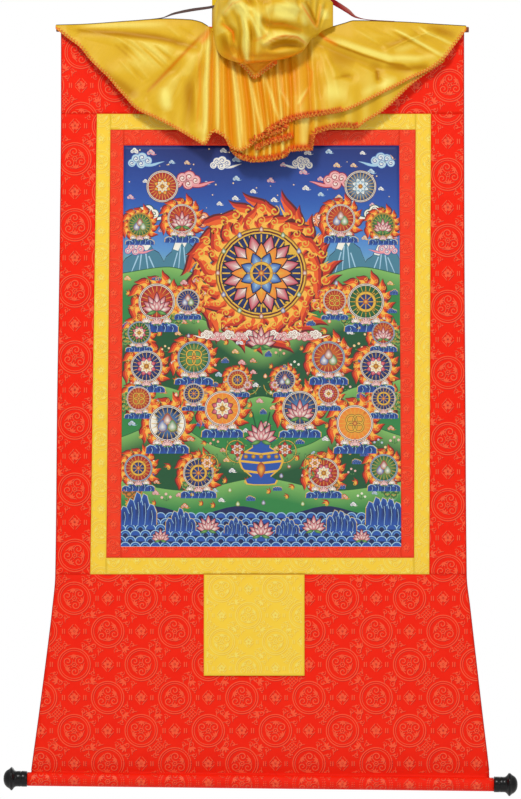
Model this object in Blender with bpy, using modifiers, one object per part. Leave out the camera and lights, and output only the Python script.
"""Thangka scroll painting that hangs on a wall by its ribbon, with its silk veil drawn up.

Metres, +Z up, the front faces -Y. The origin is the point that the ribbon hangs from.
The tables are in millimetres. "across" is measured to the right of the centre line, "down" is
measured down from the hanging point, and "off" is measured out towards the viewer.
"""

import math

import bmesh
import bpy
import numpy as np
from mathutils import Matrix, Vector

MM = 0.001
OBJECT_NAME = "thangka_scroll"

# Thicknesses and gaps
BROCADE = 1.6
PICTURE_CLOTH = 1.4
VEIL_CLOTH = 1.5
RIBBON_CLOTH = 1.6
SEAM_GAP = 0.3
PATCH_GAP = 0.5

# The wall that the scroll hangs against, as a distance off the hanging point
WALL_OFF = -4.0

# The mount's top hem, folded over its slat
HEM_FRONT_OFF = 2.4
HEM_HEIGHT = 18.0
HEM_OVER_PANEL = 3.0
TOP_HEM_EDGE = (
    # across, down
    (-322, 99.5),
    (-211, 94),
    (-155, 90.5),
    (-115, 92.5),
    (-82, 101),
    (0, 105),
    (79, 106),
    (116, 104.5),
    (135, 98.5),
    (151, 93),
    (224, 95.5),
    (289, 99.5),
    (327, 100.5),
)
SLAT_END = {"length": 8.0, "height": 9.0, "thickness": 4.5, "rounding": 1.2, "below_hem_edge": 1.0}

# The mount's side edges, which flare from the lower seam to the roller
LEFT_EDGE = (
    # down, across
    (96, -322),
    (219, -322),
    (445, -324),
    (703, -328),
    (985, -331),
    (1040, -336),
    (1115, -345),
    (1215, -358),
    (1305, -370.5),
)
RIGHT_EDGE = (
    # down, across
    (96, 327),
    (445, 327.5),
    (703, 329),
    (985, 331),
    (1040, 337),
    (1115, 345.5),
    (1215, 357),
    (1305, 368),
)

# How far the mount's face stands off: it leans out, then turns back in above the roller
MOUNT_LEAN = (
    # down, off
    (86, 2.0),
    (130, 2.2),
    (240, 3.4),
    (600, 8.0),
    (985, 13.0),
    (1180, 18.0),
    (1262, 19.5),
    (1285, 16.0),
    (1312, 6.0),
    (1330, 6.0),
)
WAVE_HEIGHT = 0.9
WAVE_LENGTH_ACROSS = 410.0
WAVE_LENGTH_DOWN = 620.0
WAVE_START = 0.8
WAVE_FADE = {"top": 140.0, "bottom": 1250.0, "length": 120.0}

# The seams: each line of the frame runs straight from its top place to its bottom place
TOP_SEAM = 242.0
LOWER_SEAM = 984.0
INNER_TOP = 267.5
INNER_BOTTOM = 957.5
PICTURE_TOP = 293.0
PICTURE_BOTTOM = 939.5
FRAME_LINES = {
    # name: (across at the top seam, across at the lower seam)
    "outer_left": (-264.5, -275.0),
    "inner_left": (-242.5, -249.5),
    "picture_left": (-221.0, -226.0),
    "picture_right": (222.5, 226.0),
    "inner_right": (249.5, 246.5),
    "outer_right": (274.0, 271.0),
}
PATCH = {"left": -92.0, "right": 70.0, "top": 984.0, "bottom": 1147.0}

# The roller's sleeve, a little lower at its right end, and its turned knobs
SLEEVE_RADIUS = 11.3
SLEEVE_LEFT = (-376.5, 1313.8)
SLEEVE_RIGHT = (375.0, 1322.6)
SLEEVE_SEGMENTS = 28
PANEL_ENDS_ABOVE_AXIS = 6.2
KNOB_SEGMENTS = 24
KNOB_PROFILE = (
    # radius, distance out from the sleeve's end
    (0.0, 38.2),
    (5.5, 37.6),
    (10.5, 35.4),
    (14.2, 31.6),
    (16.6, 28.0),
    (18.6, 26.4),
    (18.9, 24.6),
    (17.6, 23.0),
    (14.0, 20.4),
    (12.6, 17.4),
    (12.7, 11.0),
    (12.2, 10.2),
    (12.7, 9.4),
    (12.7, 0.8),
    (12.1, 0.0),
    (0.0, 0.0),
)

# The hanging ribbon: sewn along the top hem at both ends, over the nail in the middle
RIBBON_WIDTH = 9.5
RIBBON_STEPS = 56
RIBBON = (
    # across, off, down, turn in degrees: 0 shows its edge to the viewer, 90 its face
    (-184, 0.0, 90.6, 0),
    (-160, 0.0, 87.6, 6),
    (-140, 0.6, 80.6, 20),
    (-112, 3.5, 75.0, 28),
    (-80, 8.0, 70.5, 24),
    (-62, 8.4, 64.0, 18),
    (-40, 8.4, 45.0, 10),
    (-18, 7.4, 18.5, 4),
    (-6, 5.4, 2.2, 0),
    (0, 5.0, -1.2, 0),
    (6, 5.4, 1.6, 0),
    (30, 7.4, 14.5, 14),
    (66, 8.0, 36.0, 40),
    (108, 8.2, 57.5, 62),
    (139, 4.6, 76.0, 46),
    (154, 0.6, 86.5, 16),
    (174, 0.0, 90.8, 2),
    (215, 0.0, 93.4, 0),
)

# The veil's front layer: two wings and the pleated skirt between them
VEIL_TOP = (
    # across, down
    (-331, 99),
    (-292, 98),
    (-211, 92.5),
    (-155, 89),
    (-115, 90.5),
    (-98, 94),
    (-79, 104),
    (-34, 113),
    (63, 113),
    (95, 107),
    (116, 101.5),
    (135, 96),
    (150, 92),
    (224, 94),
    (289, 98),
    (331, 100.5),
)
VEIL_HEM = (
    # across, down
    (-331, 105),
    (-308, 123),
    (-292, 135),
    (-276, 155),
    (-260, 171),
    (-244, 187),
    (-231, 203),
    (-219, 216),
    (-206, 231),
    (-195, 239),
    (-171, 250),
    (-155, 258),
    (-131, 271),
    (-106, 286),
    (-90, 294),
    (-84, 286),
    (-77, 273),
    (-68, 276),
    (-58, 283),
    (-50, 298),
    (-34, 304),
    (-18, 297),
    (-5, 286),
    (8, 282),
    (18, 270),
    (31, 265),
    (40, 259),
    (63, 252),
    (111, 244),
    (135, 239),
    (152, 232),
    (184, 216),
    (216, 200),
    (240, 187),
    (273, 171),
    (294, 155),
    (313, 131),
    (331, 107),
)
VEIL_CLEARANCE = 5.0
VEIL_RISE_POWER = 0.9
FOLDS_FULL_BY = 0.2
VEIL_LEAST_OFF_MOUNT = 4.0
VEIL_RISE = (
    # across, how far the hem stands out past the clearance
    (-331, 3),
    (-270, 12),
    (-200, 18),
    (-120, 26),
    (-60, 30),
    (20, 36),
    (90, 32),
    (160, 25),
    (240, 17),
    (300, 8),
    (331, 3),
)
WING_FOLDS = (
    # height, half width, then the (across, down) points of the line that it follows
    (6.0, 8.0, ((-285, 104), (-112, 110))),
    (-6.0, 9.0, ((-262, 114), (-190, 117), (-108, 128))),
    (5.0, 20.0, ((-205, 142), (-120, 150))),
    (-9.0, 10.0, ((-86, 110), (-188, 214))),
    (7.0, 12.0, ((-78, 116), (-142, 232))),
    (8.0, 11.0, ((84, 112), (135, 131), (200, 150), (280, 144))),
    (-6.0, 10.0, ((88, 132), (140, 154), (200, 174), (246, 171))),
    (6.0, 15.0, ((112, 186), (150, 222))),
)
SKIRT_PLEATS = (
    # across at the gather, across at the hem, height
    (-78, -90, 4.0),
    (-70, -70, 5.0),
    (-60, -54, 5.0),
    (-48, -36, 6.0),
    (-30, -17, 6.0),
    (-12, 3, 6.5),
    (8, 22, 6.0),
    (28, 39, 5.0),
    (54, 60, 7.0),
    (74, 88, 4.0),
)
SKIRT_GATHER_DOWN = 108.0
SKIRT_HEM_DOWN = 300.0
PLEAT_HALF_WIDTH = (3.6, 7.0)
PLEAT_FULLNESS = (0.35, 1.0)

# The veil's columns of cells: close together where the skirt is pleated
WING_COLUMN = 11.5
SKIRT_COLUMN = 4.6
SKIRT_SIDES = (-94, 96)

# The veil's under layer, which shows below the front hem
UNDER_TOP = (
    # across, down
    (-50, 244),
    (-38, 122),
    (-5, 118),
    (40, 118),
    (60, 122),
    (76, 232),
    (111, 228),
    (152, 215),
    (184, 200),
    (216, 185),
    (240, 173),
    (273, 158),
    (296, 144),
)
UNDER_HEM = (
    # across, down
    (-50, 302),
    (-34, 316),
    (-10, 321),
    (15, 319),
    (40, 313),
    (48, 304),
    (82, 302),
    (88, 276),
    (139, 265),
    (152, 267),
    (168, 256),
    (195, 239.5),
    (248, 191),
    (296, 158),
)
UNDER_BEHIND = (
    # down, how far behind the front layer: they are one cloth inside the bunch
    (118, -4.0),
    (138, 4.0),
    (200, 5.5),
    (260, 8.0),
)

# The veil's back layer, which goes up behind the ribbon
BACK_TOP = (
    # across, down
    (-79, 40),
    (-40, 32),
    (10, 29),
    (60, 33),
    (99, 46),
)
BACK_BOTTOM = 122.0
BACK_OFF = (
    # down, off
    (28, 0.2),
    (84, 0.2),
    (94, 3.6),
    (100, 6.6),
    (110, 13.0),
    (122, 21.0),
)

# The bunch: a loop of the veil that bulges out over the ribbon, one row for each section
BUNCH = (
    # across, top down, lip down, front off
    (-79, 79, 102, 23),
    (-72, 62, 138, 38),
    (-61, 45, 152, 52),
    (-46, 30, 159, 66),
    (-24, 18, 164, 78),
    (2, 14, 161, 84),
    (37, 17, 156, 80),
    (67, 25, 143, 63),
    (82, 33, 122, 46),
    (98, 46, 110, 34),
    (116, 64, 102, 24),
)
BUNCH_BACK_OFF = 15.5
BUNCH_FOLDS_ROUND = 0.4
BUNCH_FOLDS_DEPTH = 20.0
BUNCH_FOLDS = (
    # height, half width, then the (across, down) points of the line that it follows
    (9.0, 9.0, ((-28, 60), (-24, 100), (-25, 158))),
    (-10.0, 10.0, ((-54, 96), (-42, 156))),
    (-6.0, 7.0, ((-10, 84), (-8, 150))),
    (6.0, 9.0, ((-10, 62), (4, 132))),
    (5.0, 12.0, ((6, 60), (60, 66))),
    (8.0, 9.0, ((26, 92), (78, 106))),
    (-8.0, 8.0, ((14, 112), (74, 120))),
    (8.0, 8.0, ((4, 136), (38, 129), (70, 134))),
    (-7.0, 8.0, ((60, 44), (70, 104))),
)
BUNCH_LOOP = (
    # part of the way round the loop, angle in degrees
    (0.0, 152),
    (0.16, 105),
    (0.5, 12),
    (0.84, -95),
    (1.0, -168),
)

# How many cells each sheet is built from, across and down
CELLS = {
    "top_panel": (24, 5),
    "top_hem": (24, 1),
    "side_panel": (2, 16),
    "bottom_panel": (16, 16),
    "side_strip": (1, 16),
    "cross_strip": (12, 1),
    "picture": (8, 12),
    "patch": (5, 6),
    "veil_back": (6, 12),
    "bunch": (28, 22),
}
BOTTOM_PANEL_CROWDING = 1.7
VEIL_ROWS = 10
UNDER_ROWS = 7


def curve_through(rows, places):
    """Read a smooth curve, which never overshoots its rows of (place, value), at these places."""
    place, value = np.array([row[:2] for row in rows], float).T
    rise = np.diff(value) / np.diff(place)
    slope = np.zeros(len(value))
    slope[0], slope[-1] = rise[0], rise[-1]
    before, after = rise[:-1], rise[1:]
    together = before * after > 0
    total = np.where(together, before + after, 1.0)
    slope[1:-1] = np.where(together, 2 * before * after / total, 0.0)
    places = np.clip(np.asarray(places, float), place[0], place[-1])
    i = np.clip(np.searchsorted(place, places, side="right") - 1, 0, len(place) - 2)
    span = place[i + 1] - place[i]
    t = (places - place[i]) / span
    return (
        value[i] * (2 * t**3 - 3 * t**2 + 1)
        + slope[i] * span * (t**3 - 2 * t**2 + t)
        + value[i + 1] * (3 * t**2 - 2 * t**3)
        + slope[i + 1] * span * (t**3 - t**2)
    )


def distance_to(line, across, down):
    """How far each place is from a line of straight stretches through (across, down) points."""
    nearest = np.full(np.shape(across), np.inf)
    for (x0, d0), (x1, d1) in zip(line, line[1:]):
        run_x, run_d = x1 - x0, d1 - d0
        part = ((across - x0) * run_x + (down - d0) * run_d) / (run_x**2 + run_d**2)
        part = np.clip(part, 0, 1)
        away = np.hypot(across - x0 - part * run_x, down - d0 - part * run_d)
        nearest = np.minimum(nearest, away)
    return nearest


def fold_relief(folds, across, down):
    """The height of soft folds, each a ridge, or a trough where its height is negative."""
    relief = np.zeros(np.shape(across))
    for height, half_width, line in folds:
        relief = relief + height * np.exp(-((distance_to(line, across, down) / half_width) ** 2))
    return relief


def mount_off(across, down):
    """How far the front of the mount stands off, with its slow waves."""
    lean = curve_through(MOUNT_LEAN, down)
    wave = np.sin(2 * math.pi * across / WAVE_LENGTH_ACROSS + WAVE_START) * np.sin(
        2 * math.pi * down / WAVE_LENGTH_DOWN
    )
    fade_in = np.clip((down - WAVE_FADE["top"]) / WAVE_FADE["length"], 0, 1)
    fade_out = np.clip((WAVE_FADE["bottom"] - down) / WAVE_FADE["length"], 0, 1)
    return lean + WAVE_HEIGHT * wave * fade_in * fade_out


def veil_off(across, down):
    """How far the front of the veil's front layer stands off."""
    top = curve_through(VEIL_TOP, across)
    hem = curve_through(VEIL_HEM, across)
    fall = np.clip((down - top) / np.maximum(hem - top, 1.0), 0, 1)
    out = mount_off(across, down) + VEIL_CLEARANCE
    out = out + curve_through(VEIL_RISE, across) * fall**VEIL_RISE_POWER
    out = out + fold_relief(WING_FOLDS, across, down) * np.clip(fall / FOLDS_FULL_BY, 0, 1)
    out = out + pleat_relief(across, down)
    return np.maximum(out, mount_off(across, down) + VEIL_LEAST_OFF_MOUNT)


def pleat_relief(across, down):
    """The ridges that run from the gather to the skirt's hem, wider and fuller towards the hem."""
    t = np.clip((down - SKIRT_GATHER_DOWN) / (SKIRT_HEM_DOWN - SKIRT_GATHER_DOWN), 0, 1)
    half_width = PLEAT_HALF_WIDTH[0] + (PLEAT_HALF_WIDTH[1] - PLEAT_HALF_WIDTH[0]) * t
    fullness = PLEAT_FULLNESS[0] + (PLEAT_FULLNESS[1] - PLEAT_FULLNESS[0]) * t
    relief = np.zeros(np.shape(across))
    for gather, hem, height in SKIRT_PLEATS:
        centre = gather + (hem - gather) * t
        ridge = np.exp(-(((across - centre) / half_width) ** 2))
        relief = relief + height * fullness * ridge
    return relief


def under_off(across, down):
    """The under layer leaves the front layer inside the bunch and drops back from it."""
    return veil_off(across, down) - curve_through(UNDER_BEHIND, down)


def columns_between(first, last):
    """Places for the veil's columns from first to last, closer in the skirt than in the wings."""
    places = [first]
    while places[-1] < last - 1:
        in_skirt = SKIRT_SIDES[0] <= places[-1] < SKIRT_SIDES[1]
        places.append(min(places[-1] + (SKIRT_COLUMN if in_skirt else WING_COLUMN), last))
    return np.array(places, float)


def material(name, colour, roughness, metallic=0.0):
    made = bpy.data.materials.new(name)
    made.use_nodes = True
    shader = made.node_tree.nodes["Principled BSDF"]
    shader.inputs["Base Color"].default_value = (*colour, 1.0)
    shader.inputs["Roughness"].default_value = roughness
    shader.inputs["Metallic"].default_value = metallic
    made.diffuse_color = (*colour, 1.0)
    return made


def grid_object(name, columns, rows, place, collection, look):
    """A grid of cells whose points go where place(u, v) says, u to the right and v downwards."""
    grid = bmesh.new()
    bmesh.ops.create_grid(grid, x_segments=columns, y_segments=rows, size=0.5)
    corners = np.array([point.co[:2] for point in grid.verts]) + 0.5
    across, off, down = place(corners[:, 0], 1.0 - corners[:, 1])
    for point, x, y, z in zip(grid.verts, across, off, down):
        point.co = Vector((x, -y, -z)) * MM
    mesh = bpy.data.meshes.new(name)
    grid.to_mesh(mesh)
    grid.free()
    mesh.materials.append(look)
    mesh.shade_smooth()
    made = bpy.data.objects.new(name, mesh)
    collection.objects.link(made)
    return made


def face_the_viewer(made):
    """Turn the sheet's faces round if they look at the wall, so that it thickens backwards."""
    facing = sum(polygon.normal.y * polygon.area for polygon in made.data.polygons)
    if facing > 0:
        made.data.flip_normals()


def thicken(made, thickness):
    solidify = made.modifiers.new("Thickness", "SOLIDIFY")
    solidify.thickness = thickness * MM
    solidify.offset = -1.0
    solidify.use_even_offset = False


def veil_sheet(name, top_rows, hem_rows, off, rows, collection, look):
    """A layer of the veil between its top and its hem, on the veil's own columns."""
    columns = columns_between(top_rows[0][0], top_rows[-1][0])

    def place(u, v):
        across = columns[np.rint(u * (len(columns) - 1)).astype(int)]
        top = curve_through(top_rows, across)
        down = top + (curve_through(hem_rows, across) - top) * v
        return across, off(across, down), down

    made = grid_object(name, len(columns) - 1, rows, place, collection, look)
    face_the_viewer(made)
    thicken(made, VEIL_CLOTH)
    return made


def sheet(name, left, right, top, bottom, off, thickness, cells, collection, look, crowd=1.0):
    """Cloth between two side lines, each across at a place down, and two ends, each down at across."""

    def place(u, v):
        v = 1 - (1 - v) ** crowd
        rough_down = top(0.0) + (bottom(0.0) - top(0.0)) * v
        rough_across = left(rough_down) + (right(rough_down) - left(rough_down)) * u
        down = top(rough_across) + (bottom(rough_across) - top(rough_across)) * v
        across = left(down) + (right(down) - left(down)) * u
        return across, off(across, down), down

    made = grid_object(name, *cells, place, collection, look)
    face_the_viewer(made)
    thicken(made, thickness)
    return made


def level(value):
    """A line that stays at one value."""
    return lambda places: value + 0 * np.asarray(places, float)


def slanted(name, shift=0.0):
    """A line of the frame, moved sideways by shift."""
    at_top, at_bottom = FRAME_LINES[name]

    def line(down):
        part = (np.asarray(down, float) - TOP_SEAM) / (LOWER_SEAM - TOP_SEAM)
        return at_top + (at_bottom - at_top) * part + shift

    return line


def edge(rows, shift=0.0):
    """A line read from a table, moved by shift."""
    return lambda places: curve_through(rows, places) + shift


def roller_down(across):
    """How far down the roller's axis is, at a place across."""
    part = (np.asarray(across, float) - SLEEVE_LEFT[0]) / (SLEEVE_RIGHT[0] - SLEEVE_LEFT[0])
    return SLEEVE_LEFT[1] + (SLEEVE_RIGHT[1] - SLEEVE_LEFT[1]) * part


def union(base, others):
    """Join the other solids to the base with Booleans, and keep them as helpers."""
    for other in others:
        joined = base.modifiers.new("Join " + other.name, "BOOLEAN")
        joined.operation = "UNION"
        joined.object = other
        joined.solver = "EXACT"
        other.hide_render = True
        other.display_type = "WIRE"


def build_mount(parts, helpers, red):
    """The four panels of red brocade: top, left, right and bottom."""
    half_gap = SEAM_GAP / 2
    mount_left = edge(LEFT_EDGE)
    mount_right = edge(RIGHT_EDGE)

    top_edge = edge(TOP_HEM_EDGE)
    top_panel = sheet(
        "mount_top_panel", mount_left, mount_right, edge(TOP_HEM_EDGE, HEM_OVER_PANEL),
        level(TOP_SEAM - half_gap), mount_off, BROCADE, CELLS["top_panel"], parts, red,
    )
    hem = sheet(
        "top_hem_fold", mount_left, mount_right, top_edge, edge(TOP_HEM_EDGE, HEM_HEIGHT),
        level_off(HEM_FRONT_OFF), HEM_FRONT_OFF - WALL_OFF, CELLS["top_hem"], helpers, red,
    )
    union(top_panel, [hem])

    sheet(
        "mount_left_panel", mount_left, slanted("outer_left", -half_gap),
        level(TOP_SEAM + half_gap), level(LOWER_SEAM - half_gap),
        mount_off, BROCADE, CELLS["side_panel"], parts, red,
    )
    sheet(
        "mount_right_panel", slanted("outer_right", half_gap), mount_right,
        level(TOP_SEAM + half_gap), level(LOWER_SEAM - half_gap),
        mount_off, BROCADE, CELLS["side_panel"], parts, red,
    )

    bottom_panel = sheet(
        "mount_bottom_panel", mount_left, mount_right,
        level(LOWER_SEAM + half_gap), lambda across: roller_down(across) - PANEL_ENDS_ABOVE_AXIS,
        mount_off, BROCADE, CELLS["bottom_panel"], parts, red, crowd=BOTTOM_PANEL_CROWDING,
    )
    union(bottom_panel, [roller_sleeve(helpers, red)])


def level_off(value):
    return lambda across, down: value + 0 * np.asarray(across, float)


def along_roller(part):
    """A place on the roller's axis in metres, part of the way from its left end to its right end."""
    across = SLEEVE_LEFT[0] + (SLEEVE_RIGHT[0] - SLEEVE_LEFT[0]) * part
    off = WALL_OFF + SLEEVE_RADIUS
    return Vector((across, -off, -float(roller_down(across)))) * MM


def roller_sleeve(helpers, red):
    """The bottom hem, wound round the roller."""
    start, end = along_roller(0.0), along_roller(1.0)
    body = bmesh.new()
    bmesh.ops.create_cone(
        body, cap_ends=True, segments=SLEEVE_SEGMENTS, radius1=SLEEVE_RADIUS * MM, radius2=SLEEVE_RADIUS * MM,
        depth=(end - start).length,
    )
    mesh = bpy.data.meshes.new("bottom_hem_sleeve")
    body.to_mesh(mesh)
    body.free()
    mesh.materials.append(red)
    sleeve = bpy.data.objects.new("bottom_hem_sleeve", mesh)
    sleeve.location = (start + end) / 2
    sleeve.rotation_euler = (end - start).to_track_quat("Z", "Y").to_euler()
    helpers.objects.link(sleeve)
    return sleeve


def build_frame_strips(parts, look, names, outer, inner, outer_rows, inner_rows):
    """Four strips: the side ones run the full height, the top and bottom ones butt between them."""
    half_gap = SEAM_GAP / 2
    top, bottom = outer_rows
    inner_top, inner_bottom = inner_rows
    sheet(
        names + "_left", slanted(outer[0], half_gap), slanted(inner[0], -half_gap),
        level(top + half_gap), level(bottom - half_gap), mount_off, BROCADE, CELLS["side_strip"], parts, look,
    )
    sheet(
        names + "_right", slanted(inner[1], half_gap), slanted(outer[1], -half_gap),
        level(top + half_gap), level(bottom - half_gap), mount_off, BROCADE, CELLS["side_strip"], parts, look,
    )
    sheet(
        names + "_top", slanted(inner[0], half_gap), slanted(inner[1], -half_gap),
        level(top + half_gap), level(inner_top - half_gap),
        mount_off, BROCADE, CELLS["cross_strip"], parts, look,
    )
    sheet(
        names + "_bottom", slanted(inner[0], half_gap), slanted(inner[1], -half_gap),
        level(inner_bottom + half_gap), level(bottom - half_gap),
        mount_off, BROCADE, CELLS["cross_strip"], parts, look,
    )


def build_picture(parts, look):
    half_gap = SEAM_GAP / 2
    sheet(
        "picture", slanted("picture_left", half_gap), slanted("picture_right", -half_gap),
        level(PICTURE_TOP + half_gap), level(PICTURE_BOTTOM - half_gap),
        mount_off, PICTURE_CLOTH, CELLS["picture"], parts, look,
    )


def build_patch(parts, look):
    """The yellow patch lies on the bottom panel, just under the frame."""

    def patch_off(across, down):
        return mount_off(across, down) + BROCADE + PATCH_GAP

    sheet(
        "yellow_patch", level(PATCH["left"]), level(PATCH["right"]),
        level(PATCH["top"] + SEAM_GAP), level(PATCH["bottom"]),
        patch_off, BROCADE, CELLS["patch"], parts, look,
    )


def build_slat_ends(parts, wood):
    """The two ends of the slat, past the ends of the top hem."""
    size = Vector((SLAT_END["length"], SLAT_END["thickness"], SLAT_END["height"])) * MM
    hem_middle_off = (HEM_FRONT_OFF + WALL_OFF) / 2
    for side, rows, outwards in (("left", LEFT_EDGE, -1), ("right", RIGHT_EDGE, 1)):
        edge_across = rows[0][1]
        hem_edge = curve_through(TOP_HEM_EDGE, edge_across)
        hem_down = hem_edge + SLAT_END["below_hem_edge"] + SLAT_END["height"] / 2
        centre = edge_across + outwards * (SEAM_GAP + SLAT_END["length"] / 2)
        block = bmesh.new()
        bmesh.ops.create_cube(block, size=1.0, matrix=Matrix.Diagonal((*size, 1.0)))
        mesh = bpy.data.meshes.new("slat_end_" + side)
        block.to_mesh(mesh)
        block.free()
        mesh.materials.append(wood)
        made = bpy.data.objects.new("slat_end_" + side, mesh)
        made.location = Vector((centre, -hem_middle_off, -float(hem_down))) * MM
        rounded = made.modifiers.new("Rounded", "BEVEL")
        rounded.width = SLAT_END["rounding"] * MM
        rounded.segments = 2
        parts.objects.link(made)


def build_knobs(parts, black):
    """The turned ends of the roller, one profile swept round the roller's axis."""
    start, end = along_roller(0.0), along_roller(1.0)
    axis = (end - start).normalized()
    for side, foot, outwards in (("left", start, -axis), ("right", end, axis)):
        mesh = bpy.data.meshes.new("knob_" + side)
        points = [(radius * MM, 0.0, out * MM) for radius, out in KNOB_PROFILE]
        edges = [(i, i + 1) for i in range(len(points) - 1)]
        mesh.from_pydata(points, edges, [])
        mesh.materials.append(black)
        made = bpy.data.objects.new("knob_" + side, mesh)
        made.location = foot + outwards * SEAM_GAP * MM
        made.rotation_euler = outwards.to_track_quat("Z", "Y").to_euler()
        turn = made.modifiers.new("Turned", "SCREW")
        turn.steps = KNOB_SEGMENTS
        turn.render_steps = KNOB_SEGMENTS
        turn.use_merge_vertices = True
        turn.merge_threshold = 0.00001
        turn.use_smooth_shade = True
        parts.objects.link(made)


def build_ribbon(parts, look):
    """The hanging ribbon, a strip that turns as it goes from the hem over the nail."""
    table = np.array(RIBBON, float)
    steps = np.concatenate([[0.0], np.cumsum(np.linalg.norm(np.diff(table[:, :3], axis=0), axis=1))])
    part = np.linspace(0.0, steps[-1], RIBBON_STEPS + 1)
    across, off, down, turn = (
        curve_through(list(zip(steps, table[:, column])), part) for column in range(4)
    )
    middle = np.stack([across, -off, -down], axis=1)
    heading = np.gradient(middle, axis=0)
    heading /= np.linalg.norm(heading, axis=1)[:, None]
    back = np.array([0.0, 1.0, 0.0])
    edge_way = back - heading * (heading @ back)[:, None]
    edge_way /= np.linalg.norm(edge_way, axis=1)[:, None]
    face_way = np.cross(heading, edge_way)
    angle = np.radians(turn)[:, None]
    width_way = edge_way * np.cos(angle) + face_way * np.sin(angle)

    def place(u, v):
        row = np.rint(u * RIBBON_STEPS).astype(int)
        spot = middle[row] + width_way[row] * ((v - 0.5) * RIBBON_WIDTH)[:, None]
        return spot[:, 0], -spot[:, 1], -spot[:, 2]

    made = grid_object("hanging_ribbon", RIBBON_STEPS, 1, place, parts, look)
    solidify = made.modifiers.new("Thickness", "SOLIDIFY")
    solidify.thickness = RIBBON_CLOTH * MM
    solidify.offset = 0.0


def bunch_section(across):
    return [
        curve_through([(row[0], row[column]) for row in BUNCH], across) for column in (1, 2, 3)
    ]


def build_bunch(helpers, look):
    """The loop of the veil at the top: oval sections side by side, open at the back and the ends."""

    def place(u, v):
        first, last = BUNCH[0][0], BUNCH[-1][0]
        across = first + (last - first) * u
        top, lip, front = bunch_section(across)
        angle = np.radians(curve_through(BUNCH_LOOP, v))
        half_depth = (front - BUNCH_BACK_OFF) / 2
        down = (top + lip) / 2 - (lip - top) / 2 * np.sin(angle)
        off = BUNCH_BACK_OFF + half_depth * (1 + np.cos(angle))
        facing = np.clip(np.cos(angle) + BUNCH_FOLDS_ROUND, 0, 1)
        room = np.clip(half_depth / BUNCH_FOLDS_DEPTH, 0, 1)
        return across, off + fold_relief(BUNCH_FOLDS, across, down) * facing * room, down

    made = grid_object("veil_bunch", *CELLS["bunch"], place, helpers, look)
    face_the_viewer(made)
    thicken(made, VEIL_CLOTH)
    return made


def build_veil(parts, helpers, look):
    """One satin cloth: front layer, under layer, back layer and bunch, joined to one solid."""
    front = veil_sheet("veil", VEIL_TOP, VEIL_HEM, veil_off, VEIL_ROWS, parts, look)
    under = veil_sheet("veil_under_layer", UNDER_TOP, UNDER_HEM, under_off, UNDER_ROWS, helpers, look)
    back = sheet(
        "veil_back_layer", level(BACK_TOP[0][0]), level(BACK_TOP[-1][0]), edge(BACK_TOP), level(BACK_BOTTOM),
        lambda across, down: curve_through(BACK_OFF, down), VEIL_CLOTH, CELLS["veil_back"], helpers, look,
    )
    union(front, [under, back, build_bunch(helpers, look)])


def main():
    for old in list(bpy.data.objects):
        bpy.data.objects.remove(old)
    parts = bpy.data.collections.new(OBJECT_NAME)
    helpers = bpy.data.collections.new("joined_shapes")
    bpy.context.scene.collection.children.link(parts)
    bpy.context.scene.collection.children.link(helpers)

    red = material("red_brocade", (0.85, 0.05, 0.02), 0.55)
    inner_red = material("inner_red_brocade", (0.88, 0.07, 0.03), 0.55)
    yellow = material("yellow_brocade", (0.92, 0.62, 0.06), 0.5)
    satin = material("yellow_satin", (0.85, 0.5, 0.03), 0.35)
    canvas = material("picture_cloth", (0.12, 0.2, 0.35), 0.7)
    ribbon = material("dark_red_ribbon", (0.28, 0.01, 0.02), 0.6)
    wood = material("slat_wood", (0.3, 0.09, 0.05), 0.6)
    black = material("black_lacquer", (0.012, 0.012, 0.013), 0.25)

    build_mount(parts, helpers, red)
    build_frame_strips(
        parts, yellow, "yellow_frame", ("outer_left", "outer_right"), ("inner_left", "inner_right"),
        (TOP_SEAM, LOWER_SEAM), (INNER_TOP, INNER_BOTTOM),
    )
    build_frame_strips(
        parts, inner_red, "inner_frame", ("inner_left", "inner_right"), ("picture_left", "picture_right"),
        (INNER_TOP, INNER_BOTTOM), (PICTURE_TOP, PICTURE_BOTTOM),
    )
    build_picture(parts, canvas)
    build_patch(parts, yellow)
    build_slat_ends(parts, wood)
    build_knobs(parts, black)
    build_ribbon(parts, ribbon)
    build_veil(parts, helpers, satin)


main()
